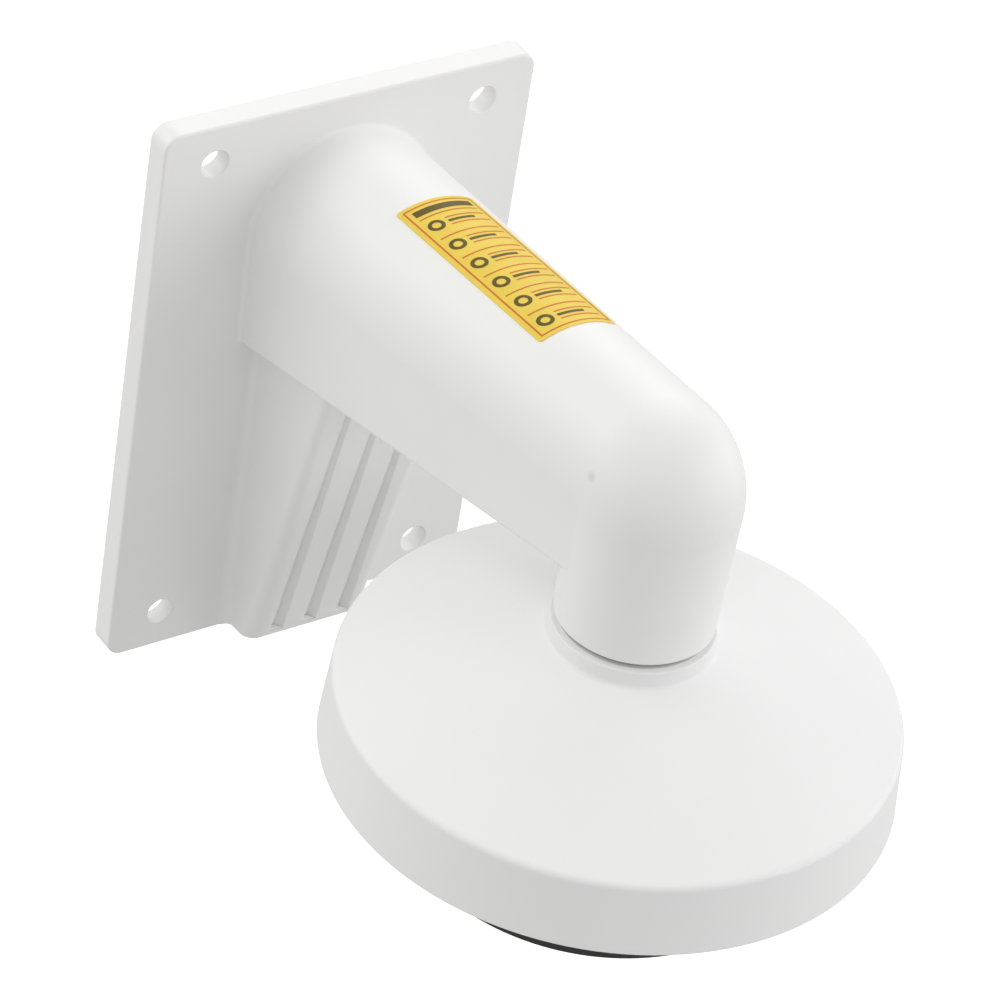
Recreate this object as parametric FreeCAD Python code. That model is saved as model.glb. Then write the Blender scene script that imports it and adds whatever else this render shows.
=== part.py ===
import FreeCAD, Part
import math
import os
from FreeCAD import Vector

# Camera wall bracket: a hollow cast bracket with a rectangular wall plate, a D-shaped arm that
# rises to a ball elbow, a ribbed gusset under it, and a shallow round cap screwed into the spout.
# Millimetres. The origin is the centre of the wall plate's back face. The wall lies in the plane
# Y = 0, the arm reaches towards -Y, +Z is up and +X is to the right, seen from the front.

# Wall plate
plate_width = 120.0
plate_height = 182.0
plate_depth = 8.4
plate_corner_radius = 5.0
plate_edge_radius = 0.8
plate_back_edge_chamfer = 0.5
plate_skin = 5.0
plate_rim_width = 4.5
plate_pocket_corner_radius = 3.0
plate_rib_thickness = 3.0
plate_rib_setback = 0.4
plate_rib_gap_to_arm = 4.0
plate_cross_rib_height = 45.0

# Screw holes in the wall plate
hole_to_side_edge = 16.5
hole_to_end_edge = 12.2
hole_diameter = 8.5
hole_edge_chamfer = 0.25
hole_pad_radius = 8.0

# Arm: its axis leaves the plate's front face this far below the plate's top and rises outwards
arm_axis_below_top = 40.5
arm_rise_degrees = 7.3
arm_root_radius = 29.0
arm_floor_below_axis = 36.5
arm_floor_slope = 0.19
arm_floor_inset = 1.0
arm_corner_radius = 1.5
arm_root_fillet = 1.5
casting_wall = 4.0

# Elbow and spout
reach = 165.7
elbow_tube_radius = 23.0
elbow_bend_radius = 4.8
spout_foot_below_axis = 24.9
spout_foot_radius = 21.8
spout_foot_chamfer = 0.4

# Threaded joint between spout and cap, without its fine thread
spigot_radius = 16.6
thread_clearance = 0.1
spigot_length = 18.0
spigot_chamfer = 1.2
cable_bore_radius = 12.5
seal_thickness = 2.05
seal_edge_setback = 1.3

# Grub screw that locks the cap, in the spout's right-hand side
grub_radius = 2.5
grub_clearance = 0.05
grub_height_above_foot = 8.5
grub_hex_across_flats = 2.5
grub_hex_depth = 2.4
grub_sink = 0.3

# Gusset under the arm
gusset_half_width_foot = 20.5
gusset_widening = 0.0125
gusset_flank_draft = 0.8
gusset_depth_at_origin = 40.4
gusset_front_slope = 0.217
gusset_root_fillet_foot = 3.5
gusset_root_fillet_top = 1.5
gusset_corner_radius_foot = 5.5
gusset_corner_radius_top = 2.2
gusset_foot_radius = 5.0
gusset_flank_foot_radius = 3.0
gusset_foot_steps = 4
gusset_top_in_arm = 16.0
gusset_pocket_web = 4.0

# Grooves in the gusset's front
groove_count = 3
groove_pitch = 11.2
groove_width_top = 1.8
groove_width_foot = 4.6
groove_depth_top = 0.9
groove_depth_foot = 2.4
groove_lip_radius = 0.5
groove_floor_share = 0.3

# Cap
cap_rim_radius = 78.9
cap_top_radius = 77.3
cap_rim_drop = 21.95
cap_cone_rise = 21.45
cap_collar_radius = 23.0
cap_collar_height = 4.55
cap_collar_draft = 0.5
cap_collar_chamfer = 0.3
cap_edge_radius = 2.0
cap_collar_fillet = 1.5
cap_rim_chamfer = 0.5
cap_bore_chamfer = 0.8
cap_wall = 3.2
cap_hub_radius = 21.0
cap_hub_drop = 12.5
cap_rib_count = 6
cap_rib_thickness = 2.6
cap_rib_end_drop = 3.0

# Screw bosses under the cap, which carry the adapter
boss_count = 3
boss_circle_diameter = 84.0
boss_radius = 5.5
boss_foot_below_cap_top = 29.55
boss_hole_radius = 2.1
boss_hole_depth = 9.0

# Black adapter under the cap, which the camera is screwed to
adapter_radius = 55.0
adapter_height = 41.9
adapter_wall = 3.0
adapter_plate_thickness = 3.0
adapter_window_radius = 24.0
adapter_edge_chamfer = 0.5
adapter_hole_radius = 2.3
camera_boss_count = 3
camera_boss_circle_diameter = 96.0
camera_boss_radius = 5.0
camera_boss_hole_radius = 1.65
camera_boss_hole_depth = 14.0

# Screws that hold the adapter
screw_shank_radius = 2.0
screw_grip = 7.0
screw_head_radius = 3.9
screw_head_height = 2.6
screw_head_crown_radius = 2.6
screw_head_crown_height = 1.2

# Label on top of the arm
label_start = 50.0
label_length = 71.0
label_left = 11.4
label_right = 13.1
label_thickness = 0.2
label_lift = 0.03
label_corner_radius = 1.0

# Values that follow from the sizes above
clear_of_part = 30.0
arm_rise = math.radians(arm_rise_degrees)
plate_half_height = plate_height / 2.0
plate_half_width = plate_width / 2.0
hole_across = plate_half_width - hole_to_side_edge
hole_up = plate_half_height - hole_to_end_edge
arm_axis_height = plate_half_height - arm_axis_below_top
arm_floor_height = arm_axis_height - arm_floor_below_axis
spout_foot_height = arm_axis_height - spout_foot_below_axis
pocket_depth = plate_depth - plate_skin
cap_top_height = spout_foot_height - seal_thickness
spout_bore_radius = spigot_radius + thread_clearance
hole_radius = hole_diameter / 2.0
cap_collar_foot = cap_top_height - cap_collar_height
cap_edge_height = cap_collar_foot - cap_cone_rise
cap_rim_foot = cap_edge_height - cap_rim_drop
boss_foot_height = cap_top_height - boss_foot_below_cap_top
adapter_top_height = boss_foot_height
adapter_foot_height = adapter_top_height - adapter_height


def rounded_wire(points, radii):
    """A closed wire through the points, each corner rounded by its own radius."""
    edges = []
    starts = []
    ends = []
    arcs = []
    count = len(points)
    for i in range(count):
        corner = points[i]
        before = points[i - 1] - corner
        after = points[(i + 1) % count] - corner
        if radii[i] <= 0.0:
            starts.append(corner)
            ends.append(corner)
            arcs.append(None)
            continue
        before.normalize()
        after.normalize()
        half_angle = math.acos(max(-1.0, min(1.0, before.dot(after)))) / 2.0
        setback = radii[i] / math.tan(half_angle)
        bisector = before + after
        bisector.normalize()
        centre = corner + bisector * (radii[i] / math.sin(half_angle))
        starts.append(corner + before * setback)
        ends.append(corner + after * setback)
        arcs.append(centre - bisector * radii[i])
    for i in range(count):
        if arcs[i] is not None:
            edges.append(Part.Arc(starts[i], arcs[i], ends[i]).toShape())
        following = starts[(i + 1) % count]
        if (following - ends[i]).Length > 1e-6:
            edges.append(Part.LineSegment(ends[i], following).toShape())
    return Part.Wire(edges)


def box_between(low, high):
    """An upright box from its lowest to its highest corner."""
    size = high - low
    return Part.makeBox(size.x, size.y, size.z, low)


def rounded_slab(half_width, half_height, radius, back, front):
    """A slab that is parallel to the wall, with rounded corners, from back to front in Y."""
    corners = [
        Vector(-half_width, back, -half_height),
        Vector(half_width, back, -half_height),
        Vector(half_width, back, half_height),
        Vector(-half_width, back, half_height),
    ]
    face = Part.Face(rounded_wire(corners, [radius] * 4))
    return face.extrude(Vector(0.0, front - back, 0.0))


def fused(shapes):
    """All the shapes as one solid, with faces that continue each other joined."""
    joined = shapes[0].multiFuse(shapes[1:])
    return joined.removeSplitter()


# The arm's axis and the bend of the elbow
arm_towards_wall = Vector(0.0, math.cos(arm_rise), -math.sin(arm_rise))
arm_up = Vector(0.0, math.sin(arm_rise), math.cos(arm_rise))
arm_root = Vector(0.0, -plate_depth, arm_axis_height)
axes_meet = Vector(
    0.0, -reach, arm_axis_height + (reach - plate_depth) * math.tan(arm_rise))
bend_angle = math.pi / 2.0 + arm_rise
bend_tangent = elbow_bend_radius * math.tan(bend_angle / 2.0)
bend_start = axes_meet + arm_towards_wall * bend_tangent
bend_end = axes_meet - Vector(0.0, 0.0, bend_tangent)
bend_centre = bend_start - arm_up * elbow_bend_radius
arm_length = (arm_root - bend_start).Length
arm_taper = (arm_root_radius - elbow_tube_radius) / arm_length


def arm_floor(y):
    """Height of the arm's underside at a distance from the wall."""
    return arm_floor_height + (-plate_depth - y) * arm_floor_slope


def arm_section_sizes(distance, inset):
    """Centre, radius, side's tangent point and floor corner of the arm's section."""
    centre = bend_start + arm_towards_wall * distance
    radius = elbow_tube_radius + arm_taper * distance - inset
    floor_lift = inset * math.sqrt(1.0 + arm_floor_slope ** 2)
    drop = (centre.z - arm_floor(centre.y) - floor_lift) / (
        arm_up.z + arm_floor_slope * arm_up.y)
    half_floor = radius - arm_floor_inset
    tangent_angle = math.acos(radius / math.hypot(half_floor, drop)) - math.atan2(drop, half_floor)
    side = (radius * math.cos(tangent_angle), radius * math.sin(tangent_angle))
    return centre, radius, side, (half_floor, -drop)


def arm_lower_section(distance, inset):
    """The arm's section below its round top, square to its axis, at a distance from the elbow."""
    centre, radius, side, corner = arm_section_sizes(distance, inset)
    corners = [
        centre + Vector(-side[0], 0.0, 0.0) + arm_up * side[1],
        centre + Vector(side[0], 0.0, 0.0) + arm_up * side[1],
        centre + Vector(corner[0], 0.0, 0.0) + arm_up * corner[1],
        centre + Vector(-corner[0], 0.0, 0.0) + arm_up * corner[1],
    ]
    return rounded_wire(corners, [0.0, 0.0, arm_corner_radius, arm_corner_radius])


def arm_lower_form(far, near, inset):
    """The arm below its round top, between two distances from the elbow."""
    return Part.makeLoft(
        [arm_lower_section(far, inset), arm_lower_section(near, inset)], True, True)


def arm_form(inset):
    """The straight arm, from behind the wall to the elbow: a cone and the form tangent below it."""
    past_wall = arm_length + plate_depth + clear_of_part
    start = bend_start + arm_towards_wall * past_wall
    cone = Part.makeCone(
        elbow_tube_radius + arm_taper * past_wall - inset, elbow_tube_radius - inset,
        past_wall, start, arm_towards_wall * -1.0)
    return fused([cone, arm_lower_form(past_wall, 0.0, inset)])


def arm_cheeks():
    """The lower part of the arm's end, carried on to the middle of the spout."""
    run_on = arm_lower_form(0.0, -elbow_tube_radius, 0.0)
    below_bend = box_between(
        Vector(-plate_width, -reach, -plate_height),
        Vector(plate_width, 0.0, bend_centre.z))
    return run_on.common(below_bend)


def elbow_form():
    """The turned part of the bend: the section's upper part, swept about the bend's axis."""
    centre, radius, side, corner = arm_section_sizes(0.0, 0.0)
    share = (side[1] + elbow_bend_radius) / (side[1] - corner[1])
    foot_x = side[0] + (corner[0] - side[0]) * share
    crown = centre + arm_up * radius
    shoulder = centre + Vector(side[0], 0.0, 0.0) + arm_up * side[1]
    foot = bend_centre + Vector(foot_x, 0.0, 0.0)
    left_shoulder = Vector(-shoulder.x, shoulder.y, shoulder.z)
    left_foot = Vector(-foot.x, foot.y, foot.z)
    outline = Part.Wire([
        Part.LineSegment(left_foot, foot).toShape(),
        Part.LineSegment(foot, shoulder).toShape(),
        Part.Arc(shoulder, crown, left_shoulder).toShape(),
        Part.LineSegment(left_shoulder, left_foot).toShape(),
    ])
    turn = 90.0 + arm_rise_degrees
    return Part.Face(outline).revolve(bend_centre, Vector(1.0, 0.0, 0.0), turn)


def elbow_hollow():
    """The round end in which the arm's duct and the spout's bore meet."""
    middle = arm_up + Vector(0.0, -1.0, 0.0)
    middle.normalize()
    return Part.makeSphere(
        elbow_tube_radius - casting_wall, bend_centre + middle * elbow_bend_radius)


def spout_form():
    """The spout's outside, a cone that narrows downwards, with its lower edge eased."""
    height = bend_end.z - spout_foot_height
    foot = Vector(0.0, -reach, spout_foot_height)
    cone = Part.makeCone(spout_foot_radius, elbow_tube_radius, height, foot)
    foot_edges = [e for e in cone.Edges if e.BoundBox.ZMax < spout_foot_height + 0.01]
    return cone.makeChamfer(spout_foot_chamfer, foot_edges)


def gusset_depth(z):
    """Distance from the wall to the gusset's front at a height."""
    return gusset_depth_at_origin + gusset_front_slope * z


def gusset_half_width(z):
    """Half the gusset's width at the plate, at a height."""
    return gusset_half_width_foot + gusset_widening * (z + plate_half_height)


def gusset_foot_inset(z, radius):
    """How far a rounding of this radius at the gusset's foot draws the surface in."""
    above = z + plate_half_height
    if above >= radius:
        return 0.0
    return radius - math.sqrt(radius ** 2 - (radius - above) ** 2)


def gusset_top():
    """Height of the gusset's upper end, inside the arm."""
    return arm_floor(-gusset_depth(arm_floor_height)) + gusset_top_in_arm


def tapered(at_foot, at_top, z):
    """A size that changes evenly from the gusset's foot to its top, at a height."""
    share = (z + plate_half_height) / (gusset_top() + plate_half_height)
    return at_foot + (at_top - at_foot) * share


def gusset_outline(z, with_grooves):
    """The gusset's outer section at a height, with or without its grooves."""
    foot_inset = gusset_foot_inset(z, gusset_foot_radius)
    root = gusset_half_width(z) - gusset_foot_inset(z, gusset_flank_foot_radius)
    front = root - gusset_flank_draft
    depth = gusset_depth(z) - foot_inset
    sunk = plate_depth - plate_skin / 2.0
    root_fillet = tapered(gusset_root_fillet_foot, gusset_root_fillet_top, z)
    corner_radius = tapered(gusset_corner_radius_foot, gusset_corner_radius_top, z)
    right = [
        (root + root_fillet, sunk, 0.0),
        (root + root_fillet, plate_depth, 0.0),
        (root, plate_depth, root_fillet * 0.999),
        (front, depth, corner_radius - foot_inset * 0.8),
    ]
    points = list(right)
    if with_grooves:
        width = tapered(groove_width_foot, groove_width_top, z)
        cut = tapered(groove_depth_foot, groove_depth_top, z)
        floor_half = width * groove_floor_share / 2.0
        lip = min(groove_lip_radius, width / 4.0)
        for i in range(groove_count):
            middle = groove_pitch * ((groove_count - 1) / 2.0 - i)
            points.append((middle + width / 2.0, depth, lip))
            points.append((middle + floor_half, depth - cut, 0.0))
            points.append((middle - floor_half, depth - cut, 0.0))
            points.append((middle - width / 2.0, depth, lip))
    points.extend([(-x, d, r) for x, d, r in reversed(right)])
    return rounded_wire([Vector(x, -d, z) for x, d, r in points], [r for x, d, r in points])


def gusset_form():
    """The gusset, with tapering grooves that end where its foot's rounding starts."""
    levels = []
    for i in range(gusset_foot_steps + 1):
        turn = math.pi / 2.0 * i / gusset_foot_steps
        levels.append(gusset_foot_radius * (1.0 - math.cos(turn)) - plate_half_height)
    rounding = Part.makeLoft([gusset_outline(z, False) for z in levels], True, True)
    grooved = Part.makeLoft(
        [gusset_outline(levels[-1], True), gusset_outline(gusset_top(), True)], True, True)
    return fused([rounding, grooved])


def gusset_pocket_section(z):
    """The level section of the gusset's hollow at a height, open towards the wall."""
    root = gusset_half_width(z) - casting_wall
    front = root - gusset_flank_draft
    depth = gusset_depth(z) - casting_wall
    corners = [
        Vector(root, clear_of_part, z),
        Vector(front, -depth, z),
        Vector(-front, -depth, z),
        Vector(-root, clear_of_part, z),
    ]
    inner_radius = gusset_corner_radius_top
    return rounded_wire(corners, [0.0, inner_radius, inner_radius, 0.0])


def gusset_pocket_form():
    """The hollow of the gusset, open at the wall and closed below the cable duct."""
    foot = -plate_half_height + casting_wall
    top = arm_floor(0.0) + casting_wall - gusset_pocket_web
    return Part.makeLoft([gusset_pocket_section(foot), gusset_pocket_section(top)], True, True)


def plate_form():
    """The wall plate with its eased front edge, before its pocket and holes are cut."""
    slab = rounded_slab(
        plate_half_width, plate_half_height, plate_corner_radius, 0.0, -plate_depth)
    front_edges = [e for e in slab.Edges if e.BoundBox.YMax < -plate_depth + 0.01]
    slab = slab.makeFillet(plate_edge_radius, front_edges)
    back_edges = [e for e in slab.Edges if e.BoundBox.YMin > -0.01]
    return slab.makeChamfer(plate_back_edge_chamfer, back_edges)


def plate_pocket_form():
    """The shallow pocket in the plate's back, less the ribs that stand in it."""
    pocket = rounded_slab(
        plate_half_width - plate_rim_width, plate_half_height - plate_rim_width,
        plate_pocket_corner_radius, clear_of_part, -pocket_depth)
    rib_x = arm_root_radius + plate_rib_gap_to_arm
    ribs = []
    for side in (-1.0, 1.0):
        middle = side * rib_x
        ribs.append(box_between(
            Vector(middle - plate_rib_thickness / 2.0, -plate_depth, -plate_half_height),
            Vector(middle + plate_rib_thickness / 2.0, -plate_rib_setback, plate_half_height)))
        for height in (-plate_cross_rib_height, 0.0, plate_cross_rib_height):
            low_x = min(middle, side * plate_half_width)
            high_x = max(middle, side * plate_half_width)
            ribs.append(box_between(
                Vector(low_x, -plate_depth, height - plate_rib_thickness / 2.0),
                Vector(high_x, -plate_rib_setback, height + plate_rib_thickness / 2.0)))
    return pocket.cut(ribs + screw_hole_pads())


def hole_places():
    """The places of the wall screws' holes, across and up."""
    return [(side * hole_across, level * hole_up) for side in (-1.0, 1.0) for level in (-1.0, 1.0)]


def screw_hole_pads():
    """The pads around the wall screws' holes, which reach the wall and join the plate's rim."""
    pads = []
    for x, z in hole_places():
        edge = math.copysign(plate_half_height, z)
        pads.append(Part.makeCylinder(
            hole_pad_radius, plate_depth, Vector(x, -plate_depth, z), Vector(0.0, 1.0, 0.0)))
        pads.append(box_between(
            Vector(x - hole_pad_radius, -plate_depth, min(z, edge)),
            Vector(x + hole_pad_radius, 0.0, max(z, edge))))
    return pads


def screw_hole_cutters():
    """The four wall screws' holes, with an eased front edge."""
    cutters = []
    towards_room = Vector(0.0, -1.0, 0.0)
    for x, z in hole_places():
        cutters.append(Part.makeCylinder(
            hole_radius, plate_depth + 2.0, Vector(x, 1.0, z), towards_room))
        cutters.append(Part.makeCone(
            hole_radius, hole_radius + hole_edge_chamfer, hole_edge_chamfer,
            Vector(x, -plate_depth + hole_edge_chamfer, z), towards_room))
    return cutters


def grub_height():
    """Height of the grub screw's axis."""
    return spout_foot_height + grub_height_above_foot


def spout_radius(z):
    """Outer radius of the spout at a height."""
    share = (z - spout_foot_height) / (bend_end.z - spout_foot_height)
    return spout_foot_radius + (elbow_tube_radius - spout_foot_radius) * share


def build_bracket():
    """The hollow casting: wall plate, arm, elbow, spout and gusset in one piece."""
    room_side = box_between(
        Vector(-plate_width, -reach * 2.0, -plate_height),
        Vector(plate_width, -pocket_depth - plate_skin / 2.0, plate_height))
    arm = arm_form(0.0).common(room_side)
    body = fused([plate_form(), arm])
    front = -plate_depth
    root_edges = []
    for edge in body.Edges:
        box = edge.BoundBox
        lies_on_front = box.YMin > front - 0.01 and box.YMax < front + 0.01
        near_arm = abs(box.XMin) < arm_root_radius + 1.0 and abs(box.XMax) < arm_root_radius + 1.0
        if lies_on_front and near_arm:
            root_edges.append(edge)
    body = body.makeFillet(arm_root_fillet, root_edges)
    body = fused([body, elbow_form(), arm_cheeks(), spout_form(), gusset_form()])
    bore = Part.makeCylinder(
        spout_bore_radius, bend_end.z - spout_foot_height + 1.0,
        Vector(0.0, -reach, spout_foot_height - 1.0))
    grub_hole = Part.makeCylinder(
        grub_radius + grub_clearance, elbow_tube_radius,
        Vector(0.0, -reach, grub_height()), Vector(1.0, 0.0, 0.0))
    hollows = [
        arm_form(casting_wall), elbow_hollow(), bore, grub_hole,
        gusset_pocket_form(), plate_pocket_form()]
    body = body.cut(hollows + screw_hole_cutters())
    return body.removeSplitter()


def cap_cone_height(radius):
    """Height of the cap's sloping top at a radius."""
    share = (radius - cap_collar_radius) / (cap_top_radius - cap_collar_radius)
    return cap_collar_foot - cap_cone_rise * share


def cap_underside_height(radius):
    """Height of the underside of the cap's sloping wall at a radius."""
    run = cap_top_radius - cap_collar_radius
    return cap_cone_height(radius) - cap_wall * math.hypot(1.0, cap_cone_rise / run)


def turned(points, radii):
    """A solid turned about the cap's axis from radius and height pairs."""
    corners = [Vector(r, -reach, z) for r, z in points]
    face = Part.Face(rounded_wire(corners, radii))
    return face.revolve(Vector(0.0, -reach, 0.0), Vector(0.0, 0.0, 1.0), 360.0)


def cap_hub_foot():
    """Height of the hub's lower face."""
    return cap_underside_height(cap_hub_radius) - cap_hub_drop


def cap_shell():
    """The turned form of the cap: rim, cone, collar, spigot and hub."""
    rim_inside = cap_top_radius - cap_wall
    rim_inside_foot = cap_rim_radius - cap_wall
    spigot_top = cap_top_height + spigot_length
    collar_top = cap_collar_radius - cap_collar_draft
    hub_foot = cap_hub_foot()
    outline = [
        (cap_rim_radius - cap_rim_chamfer, cap_rim_foot, 0.0),
        (cap_rim_radius, cap_rim_foot + cap_rim_chamfer, 0.0),
        (cap_top_radius, cap_edge_height, cap_edge_radius),
        (cap_collar_radius, cap_collar_foot, cap_collar_fillet),
        (collar_top, cap_top_height - cap_collar_chamfer, 0.0),
        (collar_top - cap_collar_chamfer, cap_top_height, 0.0),
        (spigot_radius, cap_top_height, 0.0),
        (spigot_radius, spigot_top - spigot_chamfer, 0.0),
        (spigot_radius - spigot_chamfer, spigot_top, 0.0),
        (cable_bore_radius + cap_bore_chamfer, spigot_top, 0.0),
        (cable_bore_radius, spigot_top - cap_bore_chamfer, 0.0),
        (cable_bore_radius, hub_foot + cap_bore_chamfer, 0.0),
        (cable_bore_radius + cap_bore_chamfer, hub_foot, 0.0),
        (cap_hub_radius - cap_bore_chamfer, hub_foot, 0.0),
        (cap_hub_radius, hub_foot + cap_bore_chamfer, 0.0),
        (cap_hub_radius, cap_underside_height(cap_hub_radius), 0.0),
        (rim_inside, cap_underside_height(rim_inside), 0.0),
        (rim_inside_foot, cap_rim_foot, 0.0),
    ]
    return turned([(r, z) for r, z, e in outline], [e for r, z, e in outline])


def about_cap_axis(shape, angle):
    """The shape, drawn about the origin along +X, turned and set on the cap's axis."""
    shape.rotate(Vector(0.0, 0.0, 0.0), Vector(0.0, 0.0, 1.0), angle)
    shape.translate(Vector(0.0, -reach, 0.0))
    return shape


def cap_rib(angle):
    """A radial stiffening rib under the cap, from its hub to its rim."""
    inner = (cable_bore_radius + cap_hub_radius) / 2.0
    outer = cap_top_radius - cap_wall / 2.0
    outer_foot = cap_underside_height(outer) - cap_rib_end_drop
    sunk = cap_wall / 2.0
    half = cap_rib_thickness / 2.0
    corners = [
        Vector(inner, -half, cap_hub_foot() + 1.0),
        Vector(cap_hub_radius, -half, cap_hub_foot() + 1.0),
        Vector(outer, -half, outer_foot),
        Vector(outer, -half, cap_underside_height(outer) + sunk),
        Vector(inner, -half, cap_underside_height(inner) + sunk),
    ]
    face = Part.Face(rounded_wire(corners, [0.0] * len(corners)))
    return about_cap_axis(face.extrude(Vector(0.0, cap_rib_thickness, 0.0)), angle)


def boss_angles():
    """The directions of the cap's screw bosses, each on a rib."""
    return [90.0 + 360.0 * i / boss_count for i in range(boss_count)]


def camera_boss_angles():
    """The directions of the adapter's camera bosses, between the cap's bosses."""
    return [angle + 180.0 / camera_boss_count for angle in boss_angles()]


def upright_rod(circle_diameter, radius, low, high, angle):
    """An upright cylinder on a circle about the cap's axis."""
    rod = Part.makeCylinder(radius, high - low, Vector(circle_diameter / 2.0, 0.0, low))
    return about_cap_axis(rod, angle)


def build_cap():
    """The cast cap with its ribs and screw bosses."""
    boss_top = cap_underside_height(boss_circle_diameter / 2.0 + boss_radius) + cap_wall / 2.0
    ribs = [cap_rib(90.0 + 360.0 * i / cap_rib_count) for i in range(cap_rib_count)]
    bosses = [
        upright_rod(boss_circle_diameter, boss_radius, boss_foot_height, boss_top, angle)
        for angle in boss_angles()]
    holes = [
        upright_rod(boss_circle_diameter, boss_hole_radius, boss_foot_height - 1.0,
                    boss_foot_height + boss_hole_depth, angle)
        for angle in boss_angles()]
    body = fused([cap_shell()] + ribs + bosses)
    return body.cut(holes)


def build_adapter():
    """The black cup that hangs from the cap's bosses, with three bosses for the camera."""
    inside = adapter_radius - adapter_wall
    plate_foot = adapter_top_height - adapter_plate_thickness
    eased = adapter_radius - adapter_edge_chamfer
    outline = [
        (adapter_window_radius, plate_foot),
        (inside, plate_foot),
        (inside, adapter_foot_height),
        (eased, adapter_foot_height),
        (adapter_radius, adapter_foot_height + adapter_edge_chamfer),
        (adapter_radius, adapter_top_height),
        (adapter_window_radius, adapter_top_height),
    ]
    shell = turned(outline, [0.0] * len(outline))
    bosses = [
        upright_rod(camera_boss_circle_diameter, camera_boss_radius, adapter_foot_height,
                    adapter_top_height - adapter_plate_thickness / 2.0, angle)
        for angle in camera_boss_angles()]
    holes = [
        upright_rod(camera_boss_circle_diameter, camera_boss_hole_radius,
                    adapter_foot_height - 1.0, adapter_foot_height + camera_boss_hole_depth, angle)
        for angle in camera_boss_angles()]
    holes.extend([
        upright_rod(boss_circle_diameter, adapter_hole_radius, plate_foot - 1.0,
                    adapter_top_height + 1.0, angle)
        for angle in boss_angles()])
    return fused([shell] + bosses).cut(holes)


def build_adapter_screw(angle):
    """One pan-head screw, up through the adapter's plate into the cap's boss."""
    seat = adapter_top_height - adapter_plate_thickness
    tip = adapter_top_height + screw_grip
    foot = seat - screw_head_height
    outline = [
        (0.0, foot),
        (screw_head_crown_radius, foot),
        (screw_head_radius, foot + screw_head_crown_height),
        (screw_head_radius, seat),
        (screw_shank_radius, seat),
        (screw_shank_radius, tip - screw_shank_radius / 2.0),
        (screw_shank_radius / 2.0, tip),
        (0.0, tip),
    ]
    face = Part.Face(rounded_wire([Vector(r, 0.0, z) for r, z in outline], [0.0] * len(outline)))
    body = face.revolve(Vector(0.0, 0.0, 0.0), Vector(0.0, 0.0, 1.0), 360.0)
    body.translate(Vector(boss_circle_diameter / 2.0, 0.0, 0.0))
    return about_cap_axis(body, angle)


def build_spout_seal():
    """The flat rubber washer between the cap's collar and the spout's foot."""
    outer = spout_foot_radius - seal_edge_setback
    outline = [
        (spout_bore_radius, cap_top_height),
        (outer, cap_top_height),
        (outer, spout_foot_height),
        (spout_bore_radius, spout_foot_height),
    ]
    return turned(outline, [0.0] * 4)


def build_grub_screw():
    """The socket set screw that locks the cap's spigot in the spout."""
    z = grub_height()
    start = spigot_radius
    length = spout_radius(z) - grub_sink - start
    outward = Vector(1.0, 0.0, 0.0)
    body = Part.makeCylinder(grub_radius, length, Vector(start, -reach, z), outward)
    tip = [e for e in body.Edges if e.BoundBox.XMax < start + 0.01]
    body = body.makeChamfer(grub_radius * 0.25, tip)
    corner_radius = grub_hex_across_flats / math.sqrt(3.0)
    hex_plane = start + length - grub_hex_depth
    corners = []
    for i in range(6):
        turn = math.radians(60.0 * i)
        corners.append(Vector(
            hex_plane, -reach + corner_radius * math.cos(turn),
            z + corner_radius * math.sin(turn)))
    socket = Part.Face(Part.makePolygon(corners + corners[:1]))
    return body.cut(socket.extrude(outward * (grub_hex_depth + 1.0)))


def build_label():
    """The thin label that follows the round top of the arm."""
    low_x = -label_left
    high_x = label_right
    start = -label_start
    end = -(label_start + label_length)
    corners = [
        Vector(low_x, start, arm_axis_height),
        Vector(high_x, start, arm_axis_height),
        Vector(high_x, end, arm_axis_height),
        Vector(low_x, end, arm_axis_height),
    ]
    face = Part.Face(rounded_wire(corners, [label_corner_radius] * 4))
    column = face.extrude(Vector(0.0, 0.0, plate_height))
    skin = arm_form(-label_lift - label_thickness).cut(arm_form(-label_lift))
    return skin.common(column)


def single_solid(shape):
    """The shape as one solid."""
    return shape.Solids[0]


def main():
    """Write each piece to its own file in parts."""
    os.makedirs("parts", exist_ok=True)
    pieces = {
        "bracket_casting": build_bracket(),
        "camera_cap": build_cap(),
        "spout_seal": build_spout_seal(),
        "camera_adapter": build_adapter(),
        "grub_screw": build_grub_screw(),
        "arm_label": build_label(),
    }
    for number, angle in enumerate(boss_angles(), start=1):
        pieces["adapter_screw_" + str(number)] = build_adapter_screw(angle)
    for name, shape in pieces.items():
        solid = single_solid(shape)
        solid.exportStep(os.path.join("parts", name + ".step"))
        box = solid.BoundBox
        print(name, len(shape.Solids), solid.isValid(), round(solid.Volume / 1000.0, 2), "cm3",
              round(box.XLength, 2), round(box.YLength, 2), round(box.ZLength, 2))


main()
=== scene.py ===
"""Camera wall bracket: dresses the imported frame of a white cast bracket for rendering.

Lengths are in metres, in the frame of the CAD model: the wall is the plane Y = 0, the arm
reaches towards -Y, +Z is up and +X is to the right, seen from the front.
"""
import logging
import math
from dataclasses import dataclass
from enum import Enum
from typing import Any, Dict, List, Optional, Sequence, Tuple, Union

import bmesh
import bpy
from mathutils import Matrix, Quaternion, Vector, geometry
from mathutils.bvhtree import BVHTree

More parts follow.
